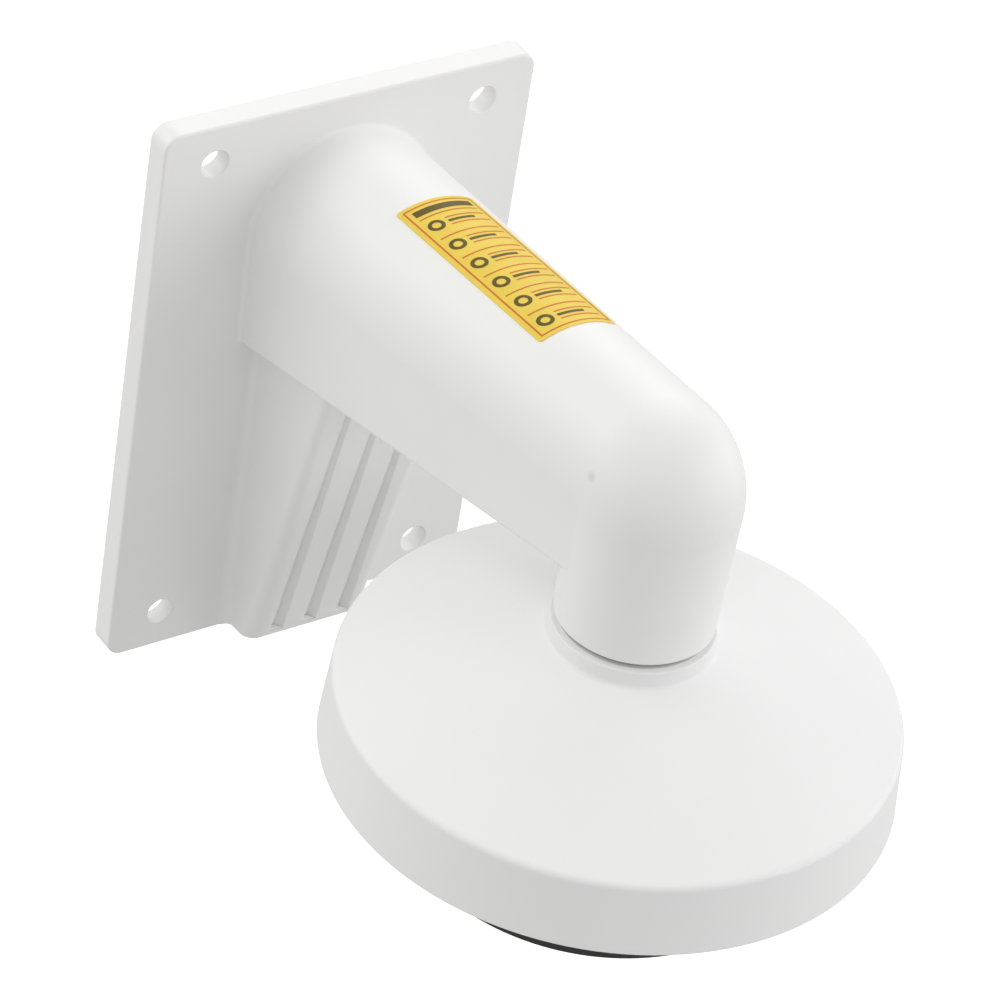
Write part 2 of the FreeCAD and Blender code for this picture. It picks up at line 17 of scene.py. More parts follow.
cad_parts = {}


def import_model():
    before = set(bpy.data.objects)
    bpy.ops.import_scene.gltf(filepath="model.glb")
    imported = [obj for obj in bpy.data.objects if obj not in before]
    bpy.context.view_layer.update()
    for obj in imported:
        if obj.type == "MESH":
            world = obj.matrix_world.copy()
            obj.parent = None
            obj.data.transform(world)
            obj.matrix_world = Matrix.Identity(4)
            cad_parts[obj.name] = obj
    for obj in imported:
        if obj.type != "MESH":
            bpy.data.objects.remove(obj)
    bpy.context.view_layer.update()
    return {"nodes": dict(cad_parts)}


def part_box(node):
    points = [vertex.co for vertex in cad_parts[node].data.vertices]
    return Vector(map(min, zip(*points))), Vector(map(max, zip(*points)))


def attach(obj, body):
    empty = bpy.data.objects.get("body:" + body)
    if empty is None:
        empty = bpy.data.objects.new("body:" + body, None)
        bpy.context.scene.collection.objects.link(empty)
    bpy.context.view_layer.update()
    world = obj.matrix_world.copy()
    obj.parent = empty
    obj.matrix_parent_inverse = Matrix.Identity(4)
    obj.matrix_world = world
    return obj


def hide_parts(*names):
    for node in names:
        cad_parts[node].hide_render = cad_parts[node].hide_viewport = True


LOG = logging.getLogger("camera_wall_bracket")
MM = 0.001
Colour = Tuple[float, float, float]
Point = Tuple[float, float, float]
Link = Tuple[bpy.types.Node, Any, bpy.types.Node, Any]
WHITE: Colour = (1.0, 1.0, 1.0)


class Slot(Enum):
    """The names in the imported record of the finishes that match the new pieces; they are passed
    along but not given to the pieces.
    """

    CASTING_COAT = "white_coating"
    ZINC = "screw_steel"
    PRINT = "yellow_label"


class Nodes:
    """A node tree that is built node by node."""

    def __init__(self, tree: bpy.types.NodeTree) -> None:
        """Takes a tree and empties it.

        Args:
            tree: The tree.
        """
        self.tree = tree
        self.tree.nodes.clear()

    def add(self, kind: str, inputs: Optional[Dict[Any, Any]] = None,
            **settings: Any) -> bpy.types.Node:
        """Adds a node.

        Args:
            kind: The node's type.
            inputs: Values of its inputs, by name or number.
            **settings: Attributes to set on the node.

        Returns:
            The new node.
        """
        node = self.tree.nodes.new(kind)
        for name, value in settings.items():
            setattr(node, name, value)
        for entry, value in (inputs or {}).items():
            node.inputs[entry].default_value = value
        return node

    def link(self, *links: Link) -> None:
        """Adds links.

        Args:
            *links: Each link's source node, its output, the target node and its input.
        """
        for source, output, target, entry in links:
            self.tree.links.new(source.outputs[output], target.inputs[entry])


class Shading(Nodes):
    """A material's nodes about one principled shader, on object coordinates."""

    def __init__(self, name: str) -> None:
        """Starts a material with a shader and an output.

        Args:
            name: The material's name.
        """
        self.material = bpy.data.materials.new(name)
        self.material.use_nodes = True
        super().__init__(self.material.node_tree)
        self.shader = self.add("ShaderNodeBsdfPrincipled")
        self.place = self.add("ShaderNodeTexCoord")
        output = self.add("ShaderNodeOutputMaterial")
        self.link((self.shader, "BSDF", output, "Surface"))

    def noise(self, size: float, detail: float) -> bpy.types.Node:
        """Adds noise.

        Args:
            size: The size of one blotch.
            detail: How many finer layers it has.

        Returns:
            The noise node, whose value is "Fac".
        """
        node = self.add("ShaderNodeTexNoise", {"Scale": 1.0 / size, "Detail": detail})
        self.link((self.place, "Object", node, "Vector"))
        return node

    def ranged(self, source: bpy.types.Node, output: str, low: float, high: float,
               start: float = 0.3, end: float = 0.7) -> bpy.types.Node:
        """Maps a value from start..end to low..high.

        Args:
            source: The node that gives the value.
            output: Name of its output.
            low: Result at the start.
            high: Result at the end.
            start: Value that gives low.
            end: Value that gives high.

        Returns:
            The node whose output 0 is the mapped value.
        """
        node = self.add("ShaderNodeMapRange", {
            "From Min": start, "From Max": end, "To Min": low, "To Max": high})
        self.link((source, output, node, "Value"))
        return node

    def blended(self, share: bpy.types.Node, low: Colour, high: Colour) -> bpy.types.Node:
        """Mixes two colours by a share.

        Args:
            share: The node whose output 0 is the share.
            low: Colour at share 0.
            high: Colour at share 1.

        Returns:
            The mixing node, whose output is "Result".
        """
        node = self.add(
            "ShaderNodeMix", {6: (*low, 1.0), 7: (*high, 1.0)}, data_type="RGBA")
        self.link((share, 0, node, 0))
        return node

    def over(self, below: bpy.types.Node, share: bpy.types.Node, colour: Colour) -> bpy.types.Node:
        """Lays a plain colour over a mixed one by a share.

        Args:
            below: The mixing node that gives the colour below.
            share: The node whose output 0 is the share.
            colour: The colour that is laid over it.

        Returns:
            The mixing node, whose output is "Result".
        """
        node = self.blended(share, colour, colour)
        self.link((below, "Result", node, 6))
        return node

    def bump(self, source: bpy.types.Node, height: float, strength: float,
             edge_radius: float) -> None:
        """Gives the shader a bump from noise, and soft edges where a radius is given.

        Args:
            source: The noise node.
            height: Height of the relief.
            strength: Strength of the bump, 0 to 1.
            edge_radius: Radius to which the finish fills and rounds the edges.
        """
        node = self.add("ShaderNodeBump", {"Strength": strength, "Distance": height})
        self.link((source, "Fac", node, "Height"), (node, "Normal", self.shader, "Normal"))
        if edge_radius > 0.0:
            soft = self.add("ShaderNodeBevel", {"Radius": edge_radius}, samples=6)
            self.link((soft, "Normal", node, "Normal"))


@dataclass(frozen=True)
class Speck:
    """A small spot in a finish, densest in its middle."""

    centre: Point
    radius: float
    colour: Colour
    density: float = 0.75
    core: float = 0.4

    def share(self, make: Shading) -> bpy.types.Node:
        """Says how far the spot covers the finish.

        Args:
            make: The finish's nodes.

        Returns:
            The node whose output 0 is the share.
        """
        away = make.add("ShaderNodeVectorMath", {1: self.centre}, operation="DISTANCE")
        make.link((make.place, "Object", away, 0))
        return make.ranged(away, "Value", self.density, 0.0, self.radius * self.core, self.radius)


@dataclass(frozen=True)
class Grime:
    """A painted shade: a darker colour laid over a finish towards the top of a band of heights,
    where shade falls under a rim.
    """

    low: float
    high: float
    colour: Colour

    def share(self, make: Shading) -> bpy.types.Node:
        """Says how far the painted shade covers the finish.

        Args:
            make: The finish's nodes.

        Returns:
            The node whose output 0 is the share.
        """
        parts = make.add("ShaderNodeSeparateXYZ")
        make.link((make.place, "Object", parts, "Vector"))
        return make.ranged(parts, "Z", 0.0, 1.0, self.low, self.high)


@dataclass(frozen=True)
class Finish:
    """A finish with soft patches of tone, and a fine grain in its gloss and relief.

    The second tone is the colour times tone_factor plus tone_lift.
    """

    name: str
    colour: Colour
    roughness: float = 0.42
    cover: Optional[Union[Speck, Grime]] = None
    metallic: float = 0.0
    specular: float = 0.5
    patch_size: float = 20 * MM
    patch_detail: float = 3.0
    tone_factor: float = 1.0
    tone_lift: float = 0.0
    grain_size: float = 0.5 * MM
    grain_detail: float = 2.0
    grain_height: float = 0.0
    grain_strength: float = 0.0
    gloss_below: float = 0.05
    gloss_above: float = 0.05
    edge_radius: float = 0.0

    def material(self) -> bpy.types.Material:
        """Builds the finish.

        Returns:
            The material.
        """
        make = Shading(self.name)
        make.shader.inputs["Metallic"].default_value = self.metallic
        make.shader.inputs["Specular IOR Level"].default_value = self.specular
        second = tuple(min(1.0, c * self.tone_factor + self.tone_lift) for c in self.colour)
        darker, lighter = sorted((self.colour, second))
        patches = make.noise(self.patch_size, self.patch_detail)
        tint = make.blended(make.ranged(patches, "Fac", 0.0, 1.0), darker, lighter)
        # A cover is either a real spot in the finish or a painted shade over a band of heights.
        if self.cover is not None:
            tint = make.over(tint, self.cover.share(make), self.cover.colour)
        grain = make.noise(self.grain_size, self.grain_detail)
        gloss = make.ranged(
            grain, "Fac", self.roughness - self.gloss_below, self.roughness + self.gloss_above)
        make.link(
            (tint, "Result", make.shader, "Base Color"), (gloss, 0, make.shader, "Roughness"))
        if self.grain_height > 0.0:
            make.bump(grain, self.grain_height, self.grain_strength, self.edge_radius)
        return make.material


@dataclass(frozen=True)
class PowderCoat(Finish):
    """Satin white powder coat over a casting, which rounds its edges."""

    specular: float = 0.45
    patch_size: float = 60 * MM
    tone_factor: float = 0.98
    grain_size: float = 1.6 * MM
    grain_height: float = 0.03 * MM
    grain_strength: float = 0.35
    gloss_below: float = 0.03
    edge_radius: float = 0.45 * MM


@dataclass(frozen=True)
class Moulded(Finish):
    """Dull rubber or moulded plastic with a fine grain."""

    specular: float = 0.4
    tone_factor: float = 1.25
    tone_lift: float = 0.002
    grain_height: float = 0.02 * MM
    grain_strength: float = 0.4
    gloss_above: float = 0.08
    edge_radius: float = 0.25 * MM


@dataclass(frozen=True)
class Steel(Finish):
    """Steel of a small screw, zinc plated or blackened."""

    metallic: float = 1.0
    patch_size: float = 1.5 * MM
    tone_factor: float = 0.8
    grain_size: float = 0.25 * MM
    grain_detail: float = 1.0
    grain_height: float = 0.01 * MM
    grain_strength: float = 0.3
    gloss_below: float = 0.06
    gloss_above: float = 0.1


@dataclass(frozen=True)
class Film(Finish):
    """A smooth printed film: the label's ground or an ink on it."""

    specular: float = 0.16
    patch_size: float = 6 * MM
    patch_detail: float = 2.0
    tone_factor: float = 1.05
    tone_lift: float = 0.004
    grain_size: float = 0.4 * MM
    grain_detail: float = 1.0
    gloss_below: float = 0.04
    gloss_above: float = 0.06


def shown(name: str, data: Any) -> bpy.types.Object:
    """Adds an object to the scene, at the origin.

    Args:
        name: The object's name.
        data: Its mesh, lamp or camera.

    Returns:
        The object.
    """
    thing = bpy.data.objects.new(name, data)
    bpy.context.scene.collection.objects.link(thing)
    return thing


def evaluated(piece: bpy.types.Object, modifier: bpy.types.Modifier) -> None:
    """Makes what a modifier gives the piece's own mesh, and removes the modifier.

    Args:
        piece: The piece, in the scene.
        modifier: Its only modifier.
    """
    depsgraph = bpy.context.evaluated_depsgraph_get()
    mesh = bpy.data.meshes.new_from_object(piece.evaluated_get(depsgraph))
    piece.modifiers.remove(modifier)
    piece.data = mesh
    mesh.name = piece.name


def cut_away(piece: bpy.types.Object, cutter: bpy.types.Mesh) -> None:
    """Cuts a closed shape out of a piece.

    Args:
        piece: The piece, in the scene.
        cutter: The closed shape.
    """
    tool = shown(cutter.name, cutter)
    cut = piece.modifiers.new("cut", "BOOLEAN")
    cut.operation = "DIFFERENCE"
    cut.solver = "EXACT"
    cut.object = tool
    evaluated(piece, cut)
    bpy.data.objects.remove(tool)


def add_loft(shape: bmesh.types.BMesh, rings: Sequence[Sequence[Point]]) -> None:
    """Adds a closed body through rings of points, with flat ends.

    Args:
        shape: The mesh in the making.
        rings: The rings, each with the same number of points.
    """
    levels = [[shape.verts.new(point) for point in ring] for ring in rings]
    for lower, upper in zip(levels, levels[1:]):
        for k in range(len(lower)):
            after = (k + 1) % len(lower)
            shape.faces.new((lower[k], lower[after], upper[after], upper[k]))
    shape.faces.new(list(reversed(levels[0])))
    shape.faces.new(levels[-1])


def ended(shape: bmesh.types.BMesh, name: str) -> bpy.types.Mesh:
    """Ends a mesh in the making.

    Args:
        shape: The mesh in the making.
        name: The mesh's name.

    Returns:
        The mesh.
    """
    mesh = bpy.data.meshes.new(name)
    shape.to_mesh(mesh)
    shape.free()
    return mesh


def ended_outwards(shape: bmesh.types.BMesh, name: str) -> bpy.types.Mesh:
    """Ends a closed mesh in the making with its faces outwards.

    Args:
        shape: The mesh in the making.
        name: The mesh's name.

    Returns:
        The mesh.
    """
    bmesh.ops.recalc_face_normals(shape, faces=shape.faces[:])
    return ended(shape, name)


class Recipe(Nodes):
    """A geometry node tree with named inputs, and what it makes."""

    def __init__(self, name: str, inputs: Dict[str, Tuple[str, Any]]) -> None:
        """Starts a tree that takes and gives a geometry.

        Args:
            name: The tree's name.
            inputs: Each named input's kind, such as Float, and its value.
        """
        super().__init__(bpy.data.node_groups.new(name, "GeometryNodeTree"))
        sockets = self.tree.interface
        for way in ("INPUT", "OUTPUT"):
            sockets.new_socket(name="Geometry", in_out=way, socket_type="NodeSocketGeometry")
        self.values: Dict[str, Any] = {}
        for entry, (kind, value) in inputs.items():
            socket = sockets.new_socket(
                name=entry, in_out="INPUT", socket_type="NodeSocket" + kind)
            self.values[socket.identifier] = value
        self.start = self.add("NodeGroupInput")
        self.end = self.add("NodeGroupOutput")

    def finished(self, source: bpy.types.Node, output: str) -> None:
        """Ends the tree in real geometry with the material that its input names.

        Args:
            source: The node that gives the geometry.
            output: Name of its output.
        """
        real = self.add("GeometryNodeRealizeInstances")
        coated = self.add("GeometryNodeSetMaterial")
        self.link(
            (source, output, real, "Geometry"),
            (real, "Geometry", coated, "Geometry"),
            (self.start, "Material", coated, "Material"),
            (coated, "Geometry", self.end, "Geometry"))

    def made(self, name: str, base: bpy.types.Mesh) -> bpy.types.Object:
        """Runs the tree on a mesh and keeps the result as a plain piece.

        Args:
            name: The piece's name.
            base: The mesh that the tree takes.

        Returns:
            The piece, with no modifier left.
        """
        piece = shown(name, base)
        modifier = piece.modifiers.new("recipe", "NODES")
        modifier.node_group = self.tree
        for identifier, value in self.values.items():
            modifier[identifier] = value
        evaluated(piece, modifier)
        return piece


def placed(piece: bpy.types.Object, slot: Slot, *nodes: str) -> bpy.types.Object:
    """Gives a new piece its body, and hides the CAD nodes that it stands for.

    Args:
        piece: The finished piece.
        slot: The record's slot of its finish; not used.
        *nodes: The CAD nodes that it replaces.

    Returns:
        The same piece.
    """
    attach(piece, "root")
    if nodes:
        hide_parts(*nodes)
    LOG.info("built %s: %d faces", piece.name, len(piece.data.polygons))
    return piece


def dress(node: bpy.types.Object, finish: Finish) -> None:
    """Gives a CAD node a better material.

    Args:
        node: The CAD node's object.
        finish: Its finish.
    """
    node.data.materials.clear()
    node.data.materials.append(finish.material())
    LOG.info("dressed %s", node.name)


class SurfaceNormals:
    """A mesh's smooth corner normals, read at any point on its surface."""

    def __init__(self, source: bpy.types.Mesh) -> None:
        """Reads a mesh of triangles.

        Args:
            source: The mesh, which stays as it is.
        """
        self.source = source
        self.corners = [vertex.co.copy() for vertex in source.vertices]
        self.faces = [tuple(face.vertices) for face in source.polygons]
        self.tree = BVHTree.FromPolygons(self.corners, self.faces)

    def at(self, place: Vector, beside: Vector) -> Vector:
        """Reads the normal at a place.

        Args:
            place: The place, which may be a corner of several faces.
            beside: A point close to it that says which face is meant.

        Returns:
            The normal.
        """
        found = self.tree.find_nearest(beside)[2]
        origin = self.source.polygons[found]
        ends = [self.source.corner_normals[k].vector for k in origin.loop_indices]
        points = [self.corners[k] for k in self.faces[found]]
        on_face = geometry.intersect_point_tri(place, *points) or place
        return geometry.barycentric_transform(on_face, *points, *ends).normalized()


@dataclass
class Casting:
    """The hollow bracket casting, with the wall screws' holes relieved from behind."""

    node: str = "bracket_casting"
    colour: Colour = (0.84, 0.84, 0.824)
    speck: Speck = Speck(
        centre=(-21.8 * MM, -164.2 * MM, 76.8 * MM), radius=1.7 * MM, colour=(0.68, 0.68, 0.66))
    hole_across: float = 43.5 * MM
    hole_up: float = 78.8 * MM
    relief_radius: float = 6.9 * MM
    relief_depth: float = 2.6 * MM
    segments: int = 64
    weld: float = 0.0005 * MM
    skin: float = 0.01 * MM
    margin: float = 1.002
    inset: float = 0.05
    agreement: float = 0.78
    own_weight: float = 0.5

    def holes(self) -> List[Tuple[float, float]]:
        """The four holes' places on the plate.

        Returns:
            Each hole's place across and up.
        """
        return [
            (x, z) for x in (-self.hole_across, self.hole_across)
            for z in (-self.hole_up, self.hole_up)]

    def reliefs(self) -> bpy.types.Mesh:
        """Four closed discs that are cut out behind the wall screws' holes.

        Returns:
            Their mesh.
        """
        shape = bmesh.new()
        turns = [2.0 * math.pi * k / self.segments for k in range(self.segments)]
        for across, up in self.holes():
            add_loft(shape, [[
                (across + self.relief_radius * math.cos(turn), y,
                 up + self.relief_radius * math.sin(turn)) for turn in turns]
                for y in (-self.relief_depth, self.relief_depth)])
        return ended_outwards(shape, "hole_reliefs")

    def merged(self, source: bpy.types.Mesh) -> bpy.types.Mesh:
        """Joins a copy of the CAD node's loose triangles.

        Args:
            source: The CAD node's mesh, which stays as it is.

        Returns:
            The joined copy with the casting's finish.
        """
        shape = bmesh.new()
        shape.from_mesh(source)
        bmesh.ops.remove_doubles(shape, verts=shape.verts[:], dist=self.weld)
        mesh = ended(shape, "merged_casting")
        mesh.materials.clear()
        mesh.materials.append(PowderCoat("casting_coat", self.colour, cover=self.speck).material())
        return mesh

    def in_relief(self, point: Vector) -> bool:
        """Whether a point lies on a relief's floor or wall.

        Args:
            point: The point, on the cut casting.

        Returns:
            True where the casting was cut.
        """
        near = self.relief_radius * self.margin
        return -self.relief_depth * self.margin < point.y < -self.skin and any(
            math.hypot(point.x - x, point.z - z) < near for x, z in self.holes())

    def keep_normals(self, mesh: bpy.types.Mesh, source: bpy.types.Mesh) -> None:
        """Gives the cut mesh the CAD surface's own normals, and flat ones in the reliefs.

        A corner's normal that goes far astray from its face, as at a degenerate point of the
        CAD surface, is mended from its neighbours at the same vertex.

        Args:
            mesh: The cut mesh.
            source: The CAD node's mesh.
        """
        surface = SurfaceNormals(source)
        normals: Dict[int, Vector] = {}
        at_vertex: Dict[int, List[Vector]] = {}
        astray = []
        for face in mesh.polygons:
            face.use_smooth = True
            own = face.normal.copy()
            if self.in_relief(face.center):
                normals.update((loop, own) for loop in face.loop_indices)
                continue
            for loop in face.loop_indices:
                vertex = mesh.loops[loop].vertex_index
                place = mesh.vertices[vertex].co
                normals[loop] = surface.at(place, place.lerp(face.center, self.inset))
                if normals[loop].dot(own) < self.agreement:
                    astray.append((loop, vertex, own))
                else:
                    at_vertex.setdefault(vertex, []).append(normals[loop])
        for loop, vertex, own in astray:
            agreed = [
                normal for normal in at_vertex.get(vertex, []) if normal.dot(own) > self.agreement]
            normals[loop] = sum(agreed, own * self.own_weight).normalized()
        LOG.info("mended %d corner normals", len(astray))
        mesh.normals_split_custom_set([normals[loop] for loop in range(len(mesh.loops))])

    def build(self, nodes: Dict[str, bpy.types.Object]) -> None:
        """Makes the visible casting from a merged copy of the CAD node's mesh.

        Args:
            nodes: The frame's CAD nodes.
        """
        source = nodes[self.node].data
        casting = shown("relieved_casting", self.merged(source))
        cut_away(casting, self.reliefs())
        self.keep_normals(casting.data, source)
        placed(casting, Slot.CASTING_COAT, self.node)


@dataclass
class AdapterScrews:
    """The pan-head screws under the adapter's plate: head, cross recess and rolled thread."""

    count: int = 3
    circle_radius: float = 42.0 * MM
    start_degrees: float = 90.0
    colour: Colour = (0.62, 0.61, 0.58)
    roughness: float = 0.3
    head_radius: float = 3.9 * MM
    head_height: float = 2.6 * MM
    crown_flat: float = 1.2 * MM
    crown_share: float = 0.62
    crown_rows: int = 7
    rim_share: float = 0.92
    seat_share: float = 0.965
    thread_radius: float = 1.98 * MM
    core_radius: float = 1.6 * MM
    crest_slope: float = 3.4
    pitch: float = 0.8 * MM
    run_out_turns: float = 1.5
    shank_length: float = 9.9 * MM
    point_share: float = 0.55
    point_length_share: float = 0.6
    wing_length: float = 2.1 * MM
    wing_width: float = 0.75 * MM
    wing_taper: float = 0.3
    recess_mouth: float = -0.4 * MM
    recess_mouth_share: float = 1.1
    recess_depth: float = 1.5 * MM
    recess_floor_share: float = 0.55
    segments: int = 36
    rows_per_turn: int = 6
    smooth_degrees: float = 32.0

    def head(self) -> List[Tuple[float, float]]:
        """The head's profile, from the edge of the crown's flat up to the shank.

        Returns:
            Radius and height pairs, with the head's lowest point at height 0.
        """
        found = []
        for i in range(self.crown_rows + 1):
            turn = math.pi / 2.0 * i / self.crown_rows
            radius = self.crown_flat + (self.head_radius - self.crown_flat) * math.sin(turn)
            height = self.head_height * self.crown_share * (1.0 - math.cos(turn))
            found.append((radius, height))
        found.append((self.head_radius, self.head_height * self.rim_share))
        found.append((self.head_radius * self.seat_share, self.head_height))
        found.append((self.core_radius, self.head_height))
        return found

    def thread_reach(self, turn: float, height: float) -> float:
        """Radius of the thread's surface.

        Args:
            turn: Share of a full turn about the axis.
            height: Height above the seat.

        Returns:
            The radius there.
        """
        phase = (height / self.pitch - turn) % 1.0
        crest = max(0.0, 1.0 - abs(phase - 0.5) * self.crest_slope)
        run_in = min(1.0, height / self.pitch)
        run_out = min(1.0, (self.shank_length - height) / (self.pitch * self.run_out_turns))
        return self.core_radius + (self.thread_radius - self.core_radius) * crest * run_in * run_out

    def ring(self, height: float, radii: Sequence[float]) -> List[Point]:
        """The points of one level about the axis.

        Args:
            height: The level's height.
            radii: The radius of each of its points.

        Returns:
            The points.
        """
        points = []
        for k, radius in enumerate(radii):
            turn = 2.0 * math.pi * k / self.segments
            points.append((radius * math.cos(turn), radius * math.sin(turn), height))
        return points

    def blank(self) -> bpy.types.Mesh:
        """One screw about the Z axis, head down, before its recess.

        Returns:
            The closed mesh.
        """
        rings = [self.ring(height, [radius] * self.segments) for radius, height in self.head()]
        rows = int(self.shank_length / self.pitch * self.rows_per_turn)
        for i in range(1, rows + 1):
            height = self.shank_length * i / rows
            radii = [self.thread_reach(k / self.segments, height) for k in range(self.segments)]
            rings.append(self.ring(self.head_height + height, radii))
        point = self.head_height + self.shank_length + self.core_radius * self.point_length_share
        rings.append(self.ring(point, [self.core_radius * self.point_share] * self.segments))
        shape = bmesh.new()
        add_loft(shape, rings)
        return ended_outwards(shape, "screw_blank")

    def recess(self) -> bpy.types.Mesh:
        """The tapering cross that is cut into a head.

        Returns:
            The closed mesh.
        """
        rings = []
        for height, share in ((self.recess_mouth, self.recess_mouth_share),
                              (self.recess_depth, self.recess_floor_share)):
            reach = self.wing_length * share
            half = self.wing_width / 2.0 * (1.0 - self.wing_taper + self.wing_taper * share)
            corners = []
            for quarter in range(4):
                turn = math.pi / 2.0 * quarter
                along = Vector((math.cos(turn), math.sin(turn)))
                across = Vector((-math.sin(turn), math.cos(turn)))
                corners.append(along * reach - across * half)
                corners.append(along * reach + across * half)
                corners.append((along + across) * half)
            rings.append([(corner.x, corner.y, height) for corner in corners])
        shape = bmesh.new()
        add_loft(shape, rings)
        return ended_outwards(shape, "screw_recess")

    def screw(self) -> bpy.types.Mesh:
        """One finished screw.

        Returns:
            Its mesh, smooth apart from its edges.
        """
        body = shown("screw", self.blank())
        cut_away(body, self.recess())
        mesh = body.data
        bpy.data.objects.remove(body)
        for face in mesh.polygons:
            face.use_smooth = True
        mesh.set_sharp_from_angle(angle=math.radians(self.smooth_degrees))
        return mesh

    def build(self) -> None:
        """Repeats the screw on its circle, where the CAD nodes are."""
        names = ["adapter_screw_" + str(number) for number in range(1, self.count + 1)]
        cap_low, cap_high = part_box("camera_cap")
        middle = (cap_low + cap_high) / 2.0
        zinc = Steel("screw_zinc", self.colour, self.roughness)
        recipe = Recipe("screws_on_a_circle", {
            "Count": ("Int", self.count),
            "Circle Radius": ("Float", self.circle_radius),
            "Start Angle": ("Float", math.radians(self.start_degrees)),
            "Centre": ("Vector", (middle.x, middle.y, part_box(names[0])[0].z)),
            "Material": ("Material", zinc.material()),
        })
        circle = recipe.add("GeometryNodeMeshCircle")
        turn = recipe.add("ShaderNodeCombineXYZ")
        move = recipe.add("GeometryNodeTransform")
        repeat = recipe.add("GeometryNodeInstanceOnPoints")
        recipe.link(
            (recipe.start, "Count", circle, "Vertices"),
            (recipe.start, "Circle Radius", circle, "Radius"),
            (recipe.start, "Start Angle", turn, "Z"),
            (circle, "Mesh", move, "Geometry"),
            (recipe.start, "Centre", move, "Translation"),
            (turn, "Vector", move, "Rotation"),
            (move, "Geometry", repeat, "Points"),
            (recipe.start, "Geometry", repeat, "Instance"))
        recipe.finished(repeat, "Instances")
        placed(recipe.made("adapter_screws", self.screw()), Slot.ZINC, *names)


@dataclass
class CapGroup:
    """The cap with its seal, adapter and screws."""

    coat: Colour = (0.84, 0.84, 0.838)
    rubber: Colour = (0.54, 0.54, 0.53)
    rubber_roughness: float = 0.7
    rubber_grain: float = 0.8 * MM
    # Painted shade on the seal: its colour at the top of the band, and the band's height above the
    # seal's foot.
    rubber_grime: Colour = (0.27, 0.27, 0.262)
    grime_height: float = 1.05 * MM
    plastic: Colour = (0.018, 0.018, 0.019)
    oxide: Colour = (0.06, 0.06, 0.06)
    oxide_roughness: float = 0.4

    def build(self, nodes: Dict[str, bpy.types.Object]) -> None:
        """Dresses the pieces under the spout and adds the screws.

        Args:
            nodes: The frame's CAD nodes.
        """
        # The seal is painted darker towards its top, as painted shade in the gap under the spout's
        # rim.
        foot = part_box("spout_seal")[0].z
        painted_rim_shade = Grime(foot, foot + self.grime_height, self.rubber_grime)
        dress(nodes["camera_cap"], PowderCoat("cap_coat", self.coat))
        dress(nodes["spout_seal"], Moulded(
            "seal_rubber", self.rubber, self.rubber_roughness, painted_rim_shade,
            grain_size=self.rubber_grain))
        dress(nodes["camera_adapter"], Moulded("adapter_plastic", self.plastic))
        dress(nodes["grub_screw"], Steel("grub_oxide", self.oxide, self.oxide_roughness))
        AdapterScrews().build()


class FlatPrint:
    """Closed printed shapes on the plane Z = 0, fine enough to be wrapped on a curved label."""

    def __init__(self, step: float = 0.8 * MM, long_step: float = 4.0 * MM,
                 thickness: float = 0.02 * MM, weld: float = 0.001 * MM) -> None:
        """Starts an empty print.

        Args:
            step: Longest stretch across the label that stays straight.
            long_step: Longest stretch along the label that stays straight.
            thickness: How thick the ink stands.
            weld: Distance within which corners are joined.
        """
        self.shape = bmesh.new()
        self.step = step
        self.long_step = long_step
        self.thickness = thickness
        self.weld = weld

    def block(self, columns: List[List[Point]], closed: bool) -> None:
        """Adds a closed slab over a grid of points.

        Args:
            columns: The grid's points, column by column.
            closed: Whether the last column joins the first one again.
        """
        ground, top = [[[
            self.shape.verts.new((x, y, z + lift)) for x, y, z in column]
            for column in columns] for lift in (0.0, self.thickness)]
        count = len(columns)
        rows = len(columns[0])
        for i in range(count if closed else count - 1):
            j = (i + 1) % count
            for k in range(rows - 1):
                self.shape.faces.new((top[i][k], top[j][k], top[j][k + 1], top[i][k + 1]))
                self.shape.faces.new(
                    (ground[i][k + 1], ground[j][k + 1], ground[j][k], ground[i][k]))
            for k in (0, rows - 1):
                self.shape.faces.new((ground[i][k], ground[j][k], top[j][k], top[i][k]))
        if not closed:
            for i in (0, count - 1):
                for k in range(rows - 1):
                    self.shape.faces.new(
                        (ground[i][k], ground[i][k + 1], top[i][k + 1], top[i][k]))

    def bar(self, left: float, right: float, low: float, high: float) -> None:
        """Adds a filled rectangle.

        Args:
            left: Lowest X.
            right: Highest X.
            low: Lowest Y.
            high: Highest Y.
        """
        across = max(1, math.ceil((right - left) / self.step))
        along = max(1, math.ceil((high - low) / self.long_step))
        self.block([[
            (left + (right - left) * i / across, low + (high - low) * k / along, 0.0)
            for k in range(along + 1)] for i in range(across + 1)], False)

    def frame(self, left: float, right: float, low: float, high: float, line: float) -> None:
        """Adds a rectangular outline inside the given sides.

        Args:
            left: Lowest X.
            right: Highest X.
            low: Lowest Y.
            high: Highest Y.
            line: The outline's width.
        """
        self.bar(left, left + line, low, high)
        self.bar(right - line, right, low, high)
        self.bar(left + line, right - line, low, low + line)
        self.bar(left + line, right - line, high - line, high)

    def ring(self, x: float, y: float, inner: float, outer: float, segments: int = 36) -> None:
        """Adds a ring about a point.

        Args:
            x: Middle of the ring.
            y: Middle of the ring.
            inner: Inner radius.
            outer: Outer radius.
            segments: How many sides it has.
        """
        rows = max(1, math.ceil((outer - inner) / self.step))
        reach = [inner + (outer - inner) * k / rows for k in range(rows + 1)]
        turns = [2.0 * math.pi * i / segments for i in range(segments)]
        self.block([[
            (x + r * math.cos(turn), y + r * math.sin(turn), 0.0) for r in reach]
            for turn in turns], True)

    def mesh(self, name: str) -> bpy.types.Mesh:
        """Ends the print.

        Args:
            name: The mesh's name.

        Returns:
            The mesh, with its faces outwards.
        """
        bmesh.ops.remove_doubles(self.shape, verts=self.shape.verts[:], dist=self.weld)
        return ended_outwards(self.shape, name)


@dataclass(frozen=True)
class Rows:
    """How often a print repeats down the label, how far apart, and where it starts."""

    count: int = 1
    pitch: float = 0.0
    start: float = 0.0


